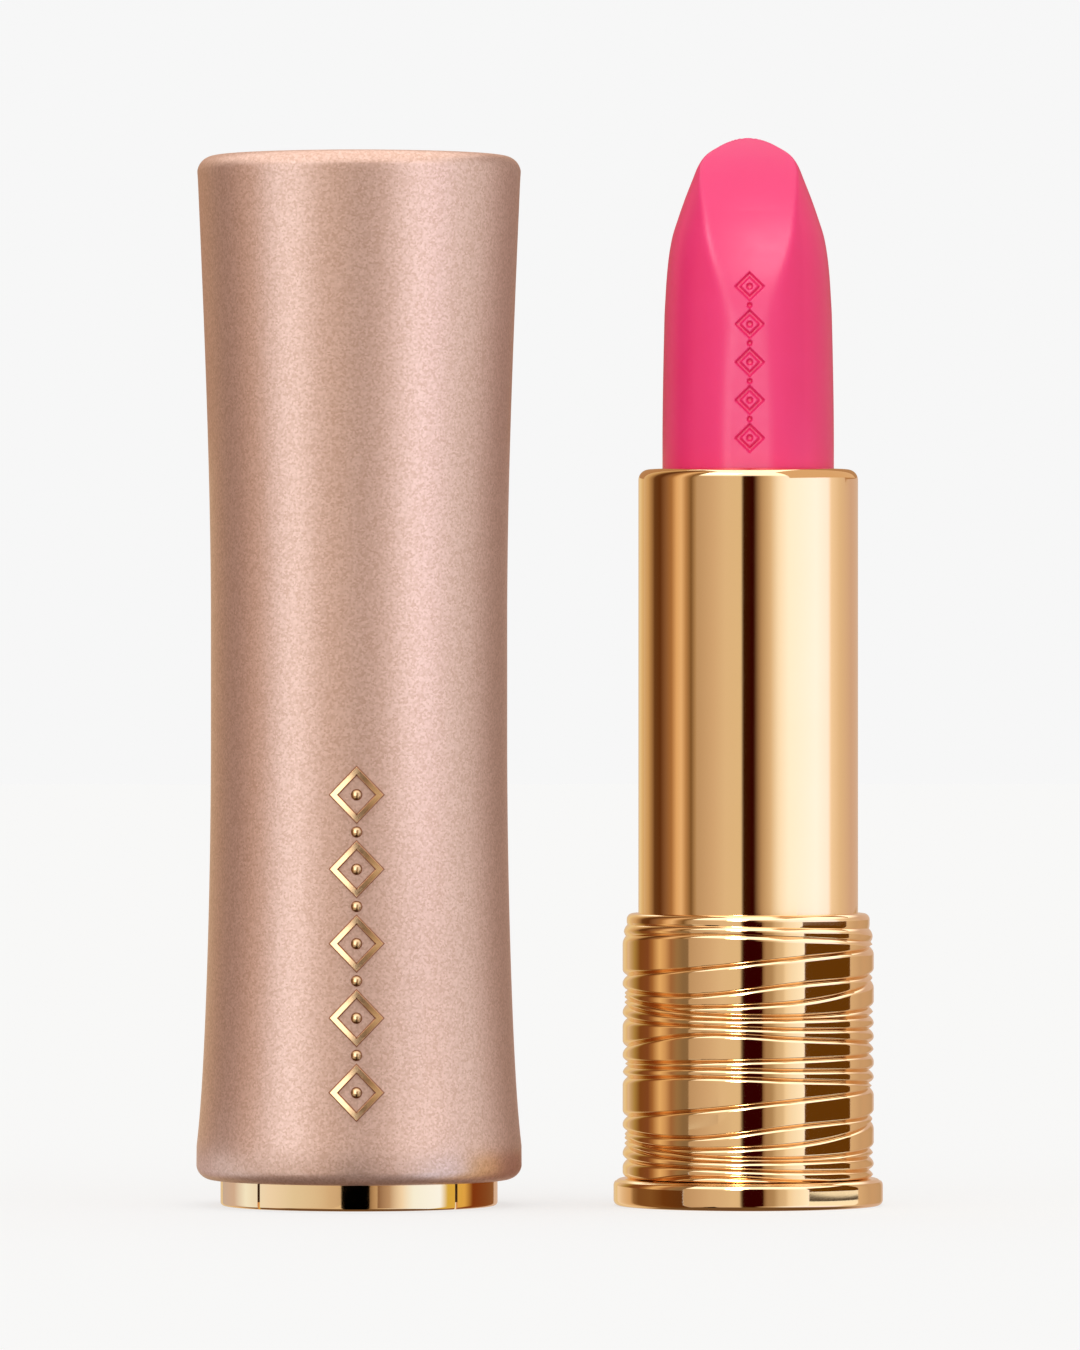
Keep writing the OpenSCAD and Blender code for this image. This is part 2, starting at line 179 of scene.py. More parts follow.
class Nodes:
    """Short names for building one material's node tree."""

    def __init__(self, name, body, roughness, metallic=0.0):
        self.material = bpy.data.materials.new(name)
        self.material.use_nodes = True
        self.tree = self.material.node_tree
        self.tree.nodes.clear()
        out = self.add("ShaderNodeOutputMaterial")
        self.shader = self.add("ShaderNodeBsdfPrincipled")
        self.shader.inputs["Base Color"].default_value = (*body, 1)
        self.shader.inputs["Roughness"].default_value = roughness
        self.shader.inputs["Metallic"].default_value = metallic
        self.join(self.shader.outputs["BSDF"], out.inputs["Surface"])
        self.place = self.add("ShaderNodeTexCoord").outputs["Object"]

    def add(self, kind, **settings):
        node = self.tree.nodes.new(kind)
        for key, value in settings.items():
            setattr(node, key, value)
        return node

    def join(self, source, target):
        self.tree.links.new(source, target)

    def stretched(self, scale):
        """Object coordinates scaled by a different amount along each axis."""
        node = self.add("ShaderNodeMapping")
        node.inputs["Scale"].default_value = scale
        self.join(self.place, node.inputs["Vector"])
        return node.outputs["Vector"]

    def noise(self, size_mm, detail=3.0, vector=None):
        node = self.add("ShaderNodeTexNoise")
        node.inputs["Scale"].default_value = 1 / (size_mm * MM)
        node.inputs["Detail"].default_value = detail
        self.join(vector or self.place, node.inputs["Vector"])
        return node.outputs["Fac"]

    def cells(self, size_mm):
        """A random grey for each cell of the given size."""
        node = self.add("ShaderNodeTexVoronoi")
        node.inputs["Scale"].default_value = 1 / (size_mm * MM)
        self.join(self.place, node.inputs["Vector"])
        split = self.add("ShaderNodeSeparateColor")
        self.join(node.outputs["Color"], split.inputs["Color"])
        return split.outputs["Red"]

    def remap(self, value, low, high, start=0.0, end=1.0):
        """Value taken from the range start to end to the range low to high."""
        node = self.add("ShaderNodeMapRange")
        node.inputs["From Min"].default_value = start
        node.inputs["From Max"].default_value = end
        node.inputs["To Min"].default_value = low
        node.inputs["To Max"].default_value = high
        self.join(value, node.inputs["Value"])
        return node.outputs["Result"]

    def blend(self, factor, first, second):
        """Mix of two colours, each given as a value or as a node's output."""
        node = self.add("ShaderNodeMix", data_type="RGBA")
        for index, colour in ((MIX_FIRST, first), (MIX_SECOND, second)):
            if isinstance(colour, tuple):
                node.inputs[index].default_value = (*colour, 1)
            else:
                self.join(colour, node.inputs[index])
        self.join(factor, node.inputs[MIX_FACTOR])
        return node.outputs[MIX_RESULT]

    def colour(self, factor, first, second):
        self.join(self.blend(factor, first, second), self.shader.inputs["Base Color"])

    def rough(self, factor, low, high):
        self.join(self.remap(factor, low, high), self.shader.inputs["Roughness"])

    def bump(self, height, depth_mm, strength):
        node = self.add("ShaderNodeBump")
        node.inputs["Distance"].default_value = depth_mm * MM
        node.inputs["Strength"].default_value = strength
        self.join(height, node.inputs["Height"])
        self.join(node.outputs["Normal"], self.shader.inputs["Normal"])

    def set(self, **values):
        for key, value in values.items():
            self.shader.inputs[key.replace("_", " ")].default_value = value


# ---------------------------------------------------------------- materials
GOLD = (0.95, 0.70, 0.45)
GOLD_DEEP = (0.94, 0.68, 0.42)
# Dark colour painted round the ornament's foot as shade
PAINTED_FOOT_SHADE = (0.28, 0.13, 0.06)
ROSE = (0.76, 0.51, 0.435)
ROSE_DARK = (0.60, 0.37, 0.29)
PINK = (0.86, 0.034, 0.18)
PINK_DEEP = (0.84, 0.028, 0.16)


def polished_gold():
    """Mirror-bright gold with faint upright polishing lines."""
    n = Nodes("polished_gold", GOLD, 0.06, 1.0)
    n.colour(n.noise(6.0), GOLD, GOLD_DEEP)
    n.rough(n.noise(1.5, 4.0), 0.045, 0.085)
    n.bump(n.noise(0.25, 4.0, n.stretched((1, 1, 0.05))), 0.002, 0.05)
    return n.material


def soft_gold():
    """Gold of the raised ornament, a little rougher than the polished parts, with painted shade round its
    foot.
    """
    n = Nodes("soft_gold", GOLD_DEEP, 0.22, 1.0)
    face = n.blend(n.noise(2.0), GOLD_DEEP, GOLD)
    foot = n.add("ShaderNodeAttribute", attribute_name="foot")
    # Where the foot attribute is 1 the gold is painted dark, as shade round the foot of the raised chain
    n.colour(foot.outputs["Fac"], face, PAINTED_FOOT_SHADE)
    n.rough(n.noise(0.4, 4.0), 0.16, 0.28)
    n.bump(n.noise(0.12, 3.0), 0.003, 0.1)
    return n.material


def satin_rose():
    """Rose-beige metallic lacquer: fine flakes that differ in brightness, tilt and gloss."""
    n = Nodes("satin_rose", ROSE, 0.45, 0.75)
    n.colour(n.cells(0.14), ROSE_DARK, ROSE)
    n.rough(n.noise(0.2, 4.0), 0.38, 0.5)
    n.bump(n.noise(0.1, 2.0), 0.004, 0.35)
    return n.material


def wax():
    """Colour stick: smooth wax with a faint bloom."""
    n = Nodes("wax", PINK, 0.42)
    n.colour(n.noise(3.0), PINK, PINK_DEEP)
    n.rough(n.noise(0.8, 4.0), 0.34, 0.44)
    n.bump(n.noise(0.3, 3.0), 0.006, 0.08)
    n.set(Subsurface_Weight=0.1, Subsurface_Radius=(1.0, 0.3, 0.4), Subsurface_Scale=0.0008)
    n.set(Specular_IOR_Level=0.58)
    return n.material


def plastic(name, light, dark, roughness):
    """Moulded plastic with a fine spark-eroded grain."""
    n = Nodes(name, light, roughness)
    n.colour(n.noise(2.5), dark, light)
    n.rough(n.noise(0.3, 4.0), roughness - 0.06, roughness + 0.08)
    n.bump(n.noise(0.15, 3.0), 0.006, 0.15)
    return n.material


def steel():
    """Turned steel with faint upright marks."""
    n = Nodes("steel", (0.62, 0.62, 0.64), 0.28, 1.0)
    n.colour(n.noise(0.6, 4.0, n.stretched((1, 1, 0.1))), (0.56, 0.56, 0.58), (0.68, 0.68, 0.70))
    n.rough(n.noise(0.4), 0.22, 0.36)
    n.bump(n.noise(0.12, 3.0), 0.004, 0.12)
    return n.material


def paper():
    """Blank label paper with a fine fibre."""
    n = Nodes("label_paper", (0.88, 0.86, 0.82), 0.6)
    n.colour(n.noise(0.5, 5.0), (0.84, 0.82, 0.78), (0.90, 0.88, 0.84))
    n.rough(n.noise(0.3), 0.55, 0.7)
    n.bump(n.noise(0.08, 5.0), 0.01, 0.2)
    return n.material


# ---------------------------------------------------------------- base shell
SKIRT_R = 8.86
SHELL_BORE = 8.25
RIM_R = 0.44
# The bands cross one another in a pattern that comes twice, the second time this much lower
PATTERN_PITCH = 9.94
# Creases of the upper repeat: their heights at these angles from the front, positive to the right
CREASE_ANGLES = (-70, -25, 25, 70)
CREASES = [
    (20.15, 20.33, 20.50, 20.60),
    (19.81, 19.86, 19.72, 19.57),
    (19.07, 19.28, 19.02, 18.70),
    (16.42, 16.92, 17.68, 18.10),
    (15.15, 15.05, 15.88, 16.20),
    (14.45, 14.24, 14.62, 15.55),
    (14.55, 13.78, 13.62, 13.90),
    (13.95, 13.42, 13.37, 13.40),
    (13.10, 12.90, 12.65, 12.52),
    (11.50, 12.30, 11.98, 11.60),
]
CREASE_DEPTH = 0.25
# Each band rises softly from the crease above it and ends more sharply at the one below
TOP_SHOULDER, LOW_SHOULDER = 0.31, 0.16
# Away from the front the bands are rounder: how much wider the shoulders and how much deeper the creases are
ROUNDER_TOP, ROUNDER_LOW, ROUNDER_DEPTH = 0.8, 1.6, 0.4
# Angles from the front between which the bands go from flat to round
ROUND_START, ROUND_SPAN = 46, 30
# A crease runs out within this height under the rim
RIM_FADE = 0.3
# How far the first bands under the rim lie inside the others, and how deep their creases are beside the rest
BAND_INSETS = (0.29, 0.29, 0.08)
CREASE_SHARES = (0.0, 0.0, 0.12, 0.4)
# Where the rows of half a band lie, from its crease to a little past its shoulder
BAND_STEPS = (0.0, 0.1, 0.21, 0.34, 0.48, 0.64, 0.8, 1.0)


def from_front(turns):
    """Angle from the front in degrees, between -180 and 180."""
    return (np.degrees(turns) + 180) % 360 - 180


def crease_heights(turns):
    """Height of each crease round the skirt, highest first at every angle, from the rim to the flange."""
    low = FOOT_H + 0.02
    high = SKIRT_TOP - RIM_R
    # Past its outer angles a crease runs on by this much of its last step
    past_end = 0.6
    curves = [np.full_like(turns, low), np.full_like(turns, high)]
    for drop in (0.0, PATTERN_PITCH):
        for heights in CREASES:
            left, front_left, front_right, right = heights
            past_left = left + past_end * (left - front_left)
            past_right = right + past_end * (right - front_right)
            ring = [(-255, past_right), (-180, (left + right) / 2), (-105, past_left)]
            ring += [*zip(CREASE_ANGLES, heights)]
            ring += [(105, past_right), (180, (left + right) / 2), (255, past_left)]
            curves.append(np.clip(smooth_through(from_front(turns), ring) - drop, low, high))
    return np.sort(np.array(curves), axis=0)[::-1]


def band_rows(top, bottom, crest, valley_top, valley_bottom, rounder):
    """Radius and height of the rows across one band, from its top crease to its bottom one."""
    rows = []
    top_shoulder = TOP_SHOULDER * (1 + ROUNDER_TOP * rounder)
    low_shoulder = LOW_SHOULDER * (1 + ROUNDER_LOW * rounder)
    share = top_shoulder / (top_shoulder + low_shoulder)
    # The rows go this far down or up, measured in shoulders, or until the two halves meet
    past = 1.25
    reach = np.minimum(past * top_shoulder, (top - bottom) * share)
    for t in BAND_STEPS:
        fall = np.clip(1 - t * reach / top_shoulder, 0, 1) ** 2
        rows.append((crest - (crest - valley_top) * fall, top - t * reach))
    reach = np.minimum(past * low_shoulder, (top - bottom) * (1 - share))
    for t in BAND_STEPS[::-1][:-1]:
        fall = np.clip(1 - t * reach / low_shoulder, 0, 1) ** 2
        rows.append((crest - (crest - valley_bottom) * fall, bottom + t * reach))
    return rows


def rim_outline():
    """Outline over the rim, from the bore to the first band."""
    lip_r = TUBE_R + 0.1
    lip_low = SKIRT_TOP - 0.5
    rim_r = SKIRT_R - BAND_INSETS[0]
    outline = [(SHELL_BORE, lip_low), (lip_r, lip_low), (lip_r, SKIRT_TOP - 0.1)]
    return outline + arc(rim_r - RIM_R, SKIRT_TOP - RIM_R, RIM_R, 95, 5, 10)


def foot_outline():
    """Outline round the foot flange, from the last band to the bore."""
    outline = arc(FOOT_R - 0.55, FOOT_H - 0.45, 0.45, 90, 40, 5)
    outline += arc(FOOT_R - 0.5, FOOT_H - 0.5, 0.5, 35, 0, 4)
    outline += stretch((FOOT_R, FOOT_H - 0.6), (FOOT_R, 0.4), 3)
    outline += arc(FOOT_R - 0.4, 0.4, 0.4, 0, -90, 8)
    return outline + [(SHELL_BORE, 0.0)]


def make_base_shell():
    """Shell with the rim, the wrapped skirt and the foot flange, as rings of radius and height."""
    columns = 360
    turns = np.linspace(0, 2 * math.pi, columns, endpoint=False)
    flat = np.ones(columns)
    rings = [(r * flat, z * flat) for r, z in rim_outline()]
    curves = crease_heights(turns)
    insets = [*BAND_INSETS] + [0.0] * (len(curves) - 1 - len(BAND_INSETS))
    crests = [SKIRT_R - inset for inset in insets]
    shares = [*CREASE_SHARES] + [1.0] * (len(curves) - len(CREASE_SHARES))
    rounder = np.clip((np.abs(from_front(turns)) - ROUND_START) / ROUND_SPAN, 0, 1) ** 2
    deepest = CREASE_DEPTH * (1 + ROUNDER_DEPTH * rounder)
    depths = [deepest * share * np.clip((curves[0] - z) / RIM_FADE, 0, 1) for share, z in zip(shares, curves)]
    above, below = crests[:1] + crests, crests + crests[-1:]
    valleys = [min(a, b) - depth for a, b, depth in zip(above, below, depths)]
    for i, crest in enumerate(crests):
        rings += band_rows(curves[i], curves[i + 1], crest, valleys[i], valleys[i + 1], rounder)
    rings.append((valleys[-1], curves[-1]))
    rings += [(r * flat, z * flat) for r, z in foot_outline()]
    verts = [
        (r[j] * math.sin(t), -r[j] * math.cos(t), z[j])
        for r, z in rings
        for j, t in enumerate(turns)
    ]
    return finish_mesh("wrapped_shell", verts, grid_faces(len(rings), columns, True), 30.0)


# ---------------------------------------------------------------- turning tube
def make_tube():
    """Thin tube with a rounded shoulder, its top edge rolled in round the stick."""
    edge = 0.75
    lip_r = STICK_R + 0.25
    foot = TUBE_LOW[2]
    outline = stretch((TUBE_R - TUBE_WALL, foot), (TUBE_R, foot), 1)
    outline += stretch((TUBE_R, foot), (TUBE_R, TUBE_TOP - edge), 12)
    outline += arc(TUBE_R - edge, TUBE_TOP - edge, edge, 0, 90, 14)
    outline += arc(lip_r + TUBE_WALL / 2, TUBE_TOP - TUBE_WALL / 2, TUBE_WALL / 2, 90, 270, 8)
    outline += arc(TUBE_R - edge, TUBE_TOP - edge, edge - TUBE_WALL, 90, 0, 8)
    outline += stretch((TUBE_R - TUBE_WALL, TUBE_TOP - edge - 1), (TUBE_R - TUBE_WALL, foot), 8)
    return lathe("polished_tube", outline)


# ---------------------------------------------------------------- colour stick
# Distance below the tip and radius there, on the uncut stick
STICK_OUTLINE = [
    (0.0, 1.56), (0.2, 1.65), (0.4, 1.78), (0.65, 2.02), (0.9, 2.30), (1.15, 2.64), (1.5, 3.04),
    (1.9, 3.35), (2.35, 3.60), (3.05, 3.88), (4.5, 4.45), (5.9, 4.94), (7.3, 5.37), (8.7, 5.61),
    (10.1, 5.75), (11.5, 5.84), (12.9, 5.91), (22.0, 6.05), (34.0, 6.05),
]
# The facet: its depth in front of the axis below, its length, and the radius it curves back by
FACET_Y, FACET_LENGTH, FACET_R = 5.76, 13.43, 16.0
# The facet is hollowed a little across its middle
HOLLOW, HOLLOW_HALF_W = 0.28, 3.2
# The facet takes this much off the uncut stick's peak, over which the radius falls steeply to nothing
PEAK_LOSS, PEAK_FALL = 0.145, 8


def stick_radius(z):
    """Radius of the uncut stick: upright, then a soft ogive, then a roof with a rounded peak."""
    drop = STICK_TIP + PEAK_LOSS - z
    side = curve_through(np.clip(drop, 0, STICK_OUTLINE[-1][0]), STICK_OUTLINE)
    return side - np.clip(-drop, 0, None) * PEAK_FALL


def facet_depth(z):
    """How far in front of the axis the facet's surface lies: upright below, curving back above."""
    up = np.clip(z - (STICK_TIP - FACET_LENGTH), 0, FACET_R * 0.96)
    return FACET_Y - FACET_R + np.sqrt(FACET_R**2 - up**2)


def lozenge_distance(x, z, half_w, half_h):
    """Rough distance outside a lozenge, negative inside."""
    k = 1 / math.hypot(half_w, half_h)
    return (np.abs(x) * half_h + np.abs(z) * half_w - half_w * half_h) * k


def engraving(x, z):
    """Depth of the engraved chain on the front of the stick."""
    low, count, pitch = 53.0, 5, 2.66
    half_w, half_h, stroke = 1.02, 1.0, 0.26
    # The walls of the engraving slope over the width of wall
    deepest, wall = 0.27, 0.1
    depth = np.zeros_like(x)
    for i in range(count):
        centre = low + half_h + i * pitch
        frame_line = np.abs(lozenge_distance(x, z - centre, half_w, half_h) + stroke / 2) - stroke / 2
        bead = np.hypot(x, z - centre) - 0.2
        link = np.hypot(x, z - centre - pitch / 2) - 0.16
        marks = np.minimum(frame_line, bead)
        if i < count - 1:
            marks = np.minimum(marks, link)
        depth = np.maximum(depth, deepest * np.clip(0.5 - marks / wall, 0, 1))
    return depth


def stick_height_field(points):
    """Signed distance, roughly, from the stick's surface: negative inside."""
    x, y, z = points
    round_part = np.hypot(x, y) - stick_radius(z)
    across = np.clip(1 - (x / HOLLOW_HALF_W) ** 2, 0, 1)
    # The hollow begins at 62 and ends at 74
    along = np.clip((z - 62) / 5, 0, 1) * np.clip((74 - z) / 4, 0, 1)
    flat_part = -y - facet_depth(z) + HOLLOW * across * along
    return -soft_min(-round_part, -flat_part, 0.16)


def make_stick():
    """Rays from the axis, then from a point inside the tip, find where the surface is."""
    # Columns lie close together in front and rows close together above 52.6, where the engraving is
    fine = np.radians(np.linspace(-13, 13, 79))
    coarse = np.radians(np.linspace(16, 344, 124))
    turns = np.concatenate([fine, coarse])
    pivot = np.array([0.0, 0.7, 67.0])
    heights = np.concatenate([np.linspace(STICK_FOOT, 52.6, 18), np.linspace(52.7, 66.9, 190)])
    origins = [(0.0, 0.7 * np.clip((z - 60) / 7, 0, 1), z) for z in heights]
    tilts = [0.0] * len(heights)
    for tilt in np.radians(np.linspace(0, 89.2, 90)):
        origins.append(tuple(pivot))
        tilts.append(tilt)
    origins = np.array(origins)[:, None, :]
    tilts = np.array(tilts)[:, None]
    aim = np.stack([
        np.sin(turns) * np.cos(tilts), -np.cos(turns) * np.cos(tilts), np.sin(tilts) * np.ones_like(turns),
    ], axis=-1)
    near = np.zeros(aim.shape[:2])
    far = np.full(aim.shape[:2], 12.0)
    for _ in range(40):
        middle = (near + far) / 2
        points = origins + aim * middle[..., None]
        inside = stick_height_field(np.moveaxis(points, -1, 0)) < 0
        near = np.where(inside, middle, near)
        far = np.where(inside, far, middle)
    # The engraving pushes the front's points straight back
    points = origins + aim * near[..., None]
    points[..., 1] += engraving(points[..., 0], points[..., 2]) * (points[..., 1] < 0)
    rows, columns = points.shape[:2]
    verts = [tuple(p) for p in points.reshape(-1, 3)]
    faces = grid_faces(rows, columns, False)
    verts += [(0.0, 0.0, STICK_FOOT), tuple(points[-1].mean(axis=0))]
    foot, tip = rows * columns, rows * columns + 1
    top = (rows - 1) * columns
    for j in range(columns):
        k = (j + 1) % columns
        faces.append((foot, k, j))
        faces.append((tip, top + j, top + k))
    return finish_mesh("colour_stick", verts, faces, 40.0)


# ---------------------------------------------------------------- cap
WAIST_R = 10.456
WAIST_LOW, WAIST_HIGH = 33.0, 41.0
# Below the waist: height of the flare, how much it widens, and how much more just above the foot
FLARE_H, FLARE, FOOT_FLARE = 29, 0.845, 0.185
# Above the waist the sleeve follows a hyperbola this steep
HEAD_FLARE = 0.0522
FOOT_CORNER, HEAD_CORNER = 1.1, 1.2
HEAD_R = 11.42
SLEEVE_R = (SLEEVE_HIGH[0] - SLEEVE_LOW[0]) / 2
SLEEVE_BORE = 9.62
HOLE_R = 8.0
# Underside of the sleeve's top, and the step that the collar is pressed up to
ROOF_Z, COLLAR_SEAT_Z = 72.0, 12.6
SLIT_TOP = 8.0
SLIT_W = 0.24


def sleeve_radius(z):
    """Outer radius of the waisted sleeve."""
    if z < WAIST_LOW:
        t = (WAIST_LOW - z) / FLARE_H
        return WAIST_R + FLARE * t * t + FOOT_FLARE * t**10
    if z > WAIST_HIGH:
        return WAIST_R + math.sqrt(1 + (HEAD_FLARE * (z - WAIST_HIGH)) ** 2) - 1
    return WAIST_R


def make_sleeve():
    """Waisted sleeve, open at the bottom and holding the button in the hole at its top."""
    outline = arc(SLEEVE_R - FOOT_CORNER, SLEEVE_FOOT + FOOT_CORNER, FOOT_CORNER, -90, -8, 12)
    outline += [(sleeve_radius(z), z) for z in np.linspace(4.2, 72.3, 90)]
    outline += arc(HEAD_R - HEAD_CORNER, CAP_TOP - HEAD_CORNER, HEAD_CORNER, 6, 90, 12)
    outline += arc(HOLE_R + 0.12, CAP_TOP - 0.12, 0.12, 90, 180, 4)
    outline += [(HOLE_R, ROOF_Z), (SLEEVE_BORE, ROOF_Z)]
    outline += stretch((SLEEVE_BORE, ROOF_Z - 1), (SLEEVE_BORE, COLLAR_SEAT_Z + 0.4), 6)
    outline += [(SLEEVE_BORE, COLLAR_SEAT_Z), (COLLAR_R, COLLAR_SEAT_Z), (COLLAR_R, SLEEVE_FOOT + 0.1)]
    outline += [(COLLAR_R + 0.1, SLEEVE_FOOT)]
    return lathe("satin_sleeve", outline, CAP_X, 288)


def make_button():
    """Button with a flange under the sleeve's top, a ring groove and a dished middle."""
    face_r, flange_r = HOLE_R - 0.09, 9.0
    groove_r, groove_half_w = 6.05, 0.22
    dish_r, dish_depth = 4.5, 0.35
    low, top = BUTTON_LOW[2], BUTTON_HIGH[2]
    shoulder = ROOF_Z - 0.06
    outline = [(0.0, low), (5.0, low), (flange_r, low), (flange_r, shoulder), (face_r, shoulder)]
    outline += arc(face_r - 0.3, top - 0.3, 0.3, 0, 90, 8)
    outline += arc(groove_r, top - 0.02, groove_half_w, 0, -180, 12)
    outline += [(5.4, top), (4.7, top)]
    for turn in np.linspace(0.1, math.pi / 2, 12):
        outline.append((dish_r * math.cos(turn), top - dish_depth * math.sin(turn)))
    return lathe("satin_button", outline, CAP_X)


def make_collar():
    """Gold collar: a ring whose lower part is parted into four spring fingers."""
    bore = 9.4
    top = COLLAR_HIGH[2]
    edge = 0.25
    half_slit = math.degrees(SLIT_W / 2 / COLLAR_R)
    angles = []
    for slit in (45, 135, 225, 315):
        angles += [slit - half_slit, slit + half_slit]
        angles += list(np.linspace(slit + half_slit, slit + 90 - half_slit, 50)[1:-1])
    outer = [(COLLAR_R - edge, 0.0)] + arc(COLLAR_R - edge, edge, edge, -80, 0, 6)
    outer += [(COLLAR_R, z) for z in (0.8, 1.8, 4, SLIT_TOP, top)]
    rows, columns = len(outer), len(angles)
    slits = set(range(0, columns, columns // 4))
    slit_rows = sum(z <= SLIT_TOP for _, z in outer) - 1

    def solid(i, j):
        """Whether there is metal between rows i and i + 1, just after column j."""
        return 0 <= i < rows - 1 and not (j % columns in slits and i < slit_rows)

    verts, faces = [], []
    for rings in (outer, [(bore, z) for _, z in outer]):
        for r, z in rings:
            for a in np.radians(angles):
                verts.append((CAP_X + r * math.sin(a), -r * math.cos(a), z))
    inner = rows * columns
    for i in range(rows - 1):
        for j in range(columns):
            if not solid(i, j):
                continue
            k = (j + 1) % columns
            a, b, c, d = i * columns + j, i * columns + k, (i + 1) * columns + k, (i + 1) * columns + j
            faces += [(a, b, c, d), (inner + d, inner + c, inner + b, inner + a)]
            if not solid(i - 1, j):
                faces.append((inner + a, inner + b, b, a))
            if not solid(i + 1, j):
                faces.append((d, c, inner + c, inner + d))
            if not solid(i, j - 1):
                faces.append((a, d, inner + d, inner + a))
            if not solid(i, k):
                faces.append((b, inner + b, inner + c, c))
    return finish_mesh("sprung_collar", verts, faces, 30.0)


def on_sleeve(x, z, lift):
    """Point on the front of the sleeve, x round its surface and lift above it."""
    r = sleeve_radius(z) + lift
    return (CAP_X + r * math.sin(x / r), -r * math.cos(x / r), z)


def mark_shaded_foot(chain, face):
    """Point attribute that is 0 on the chain's face and 1 below it, where the gold is painted darker as
    shade.
    """
    foot = chain.data.attributes.new("foot", "FLOAT", "POINT")
    for vertex, value in zip(chain.data.vertices, foot.data):
        x, y, z = (c / MM for c in vertex.co)
        lift = math.hypot(x - CAP_X, y) - sleeve_radius(z)
        value.value = min(1.0, max(0.0, (face - lift) / 0.07))


def make_ornament():
    """Chain of lozenge frames and beads with bevelled edges."""
    count, gap, bead_r = 5, 0.15, 0.4
    low, high = ORNAMENT_LOW[2], ORNAMENT_HIGH[2]
    half_w = (ORNAMENT_HIGH[0] - ORNAMENT_LOW[0]) / 2
    pitch = (high - low + 2 * (bead_r + gap)) / count
    half_h = pitch / 2 - bead_r - gap
    rise = 0.2
    verts, faces = [], []

    def add(points, new_faces):
        """Add one closed shape to the chain."""
        start = len(verts)
        verts.extend(points)
        faces.extend(tuple(start + i for i in f) for f in new_faces)

    def frame_loop(centre, inset, lift, steps=14):
        """Lozenge-shaped loop of points, a little smaller for a larger inset."""
        w, h = half_w - inset, half_h - inset
        corners = [(0, -h), (w, 0), (0, h), (-w, 0), (0, -h)]
        loop = []
        for a, b in zip(corners, corners[1:]):
            loop += stretch(a, b, steps)
        return [on_sleeve(x, centre + z, lift) for x, z in loop]

    def bead(centre):
        """Add a round bead."""
        rings = [[on_sleeve(0, centre, rise)] * 24]
        for tilt in np.radians([15, 35, 55, 75, 90]):
            r, lift = bead_r * math.sin(tilt), rise * math.cos(tilt)
            rings.append([
                on_sleeve(r * math.sin(t), centre + r * math.cos(t), lift)
                for t in np.linspace(0, 2 * math.pi, 24, endpoint=False)
            ])
        rings.append([on_sleeve(0, centre, -0.02)] * 24)
        add([p for ring in rings for p in ring], grid_faces(len(rings), 24, False))

    # Section of a frame: distance in from its outer edge, and height above the sleeve
    section = [(0, 0), (0.06, 0.12), (0.13, rise), (0.59, rise), (0.66, 0.12), (0.72, 0)]
    section += [(0.5, -0.02), (0.16, -0.02)]
    for i in range(count):
        centre = low + half_h + i * pitch
        loops = [frame_loop(centre, inset, lift) for inset, lift in section]
        add([p for loop in loops for p in loop], grid_faces(len(loops), len(loops[0]), True))
        bead(centre)
        if i < count - 1:
            bead(centre + pitch / 2)
    chain = finish_mesh("raised_chain", verts, faces, 32.0)
    # Marks the foot, where painted shade darkens the gold
    mark_shaded_foot(chain, rise - 0.01)
    return chain


# ---------------------------------------------------------------- dress the object
gold = polished_gold()
rose = satin_rose()
white = plastic("white_plastic", (0.86, 0.85, 0.82), (0.80, 0.79, 0.76), 0.45)
grey = plastic("grey_plastic", (0.16, 0.15, 0.15), (0.12, 0.11, 0.11), 0.5)
rubber = plastic("silicone", (0.70, 0.22, 0.16), (0.60, 0.18, 0.13), 0.4)
metal = steel()
label = paper()

# Each modelled piece with the CAD node it replaces, its body, its finish and its material
PIECES = [
    (make_base_shell(), "base_shell", "base", "polished_gold", gold),
    (make_tube(), "twist_tube", "turning_tube", "polished_gold", gold),
    (make_stick(), "bullet", "stick", "colour_stick", wax()),
    (make_sleeve(), "cap_sleeve", "cap", "satin_rose_metal", rose),
    (make_collar(), "cap_collar", "cap", "polished_gold", gold),
    (make_ornament(), "cap_ornament", "cap", "polished_gold", soft_gold()),
    (make_button(), "cap_button", "push_button", "satin_rose_metal", rose),
]
for piece, node, body, finish, material in PIECES:
    piece.data.materials.append(material)
    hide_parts(node)
    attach(piece, body)

# The hidden pieces keep their CAD shape
CAD_FINISH = {
    "base_insert": grey, "base_weight": metal, "bottom_plate": gold, "shade_label": label,
    "slotted_tube": white, "retaining_ring": metal, "spiral_sleeve": white, "glide_washer": white,
    "friction_ring": rubber, "bullet_cup": white, "cap_liner": grey, "ejector_tube": white,
    "button_spring": metal,
}
for node, material in CAD_FINISH.items():
    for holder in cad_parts[node].material_slots:
        holder.material = material


# ---------------------------------------------------------------- studio
BACKDROP = 0.93
# The floor's matt share, and the brightness of the light that reaches it
FLOOR_MATT, FLOOR_LIGHT = 0.3, 0.84
# Brightness that matt surfaces see all round
SOFT = 0.57
# Glow above and below the horizon, and how steep a direction is where it begins and where it is full
SKY, SKY_FROM, SKY_FULL = (1.7, 1.7, 1.6), 0.35, 0.62
GROUND, GROUND_FROM, GROUND_FULL = (0.16, 0.09, 0.04), 0.45, 0.75
BLACK = (0.03, 0.0, 0.0)
BROWN = (0.13, 0.051, 0.004)
DARK_BROWN = (0.02, 0.005, 0.0)
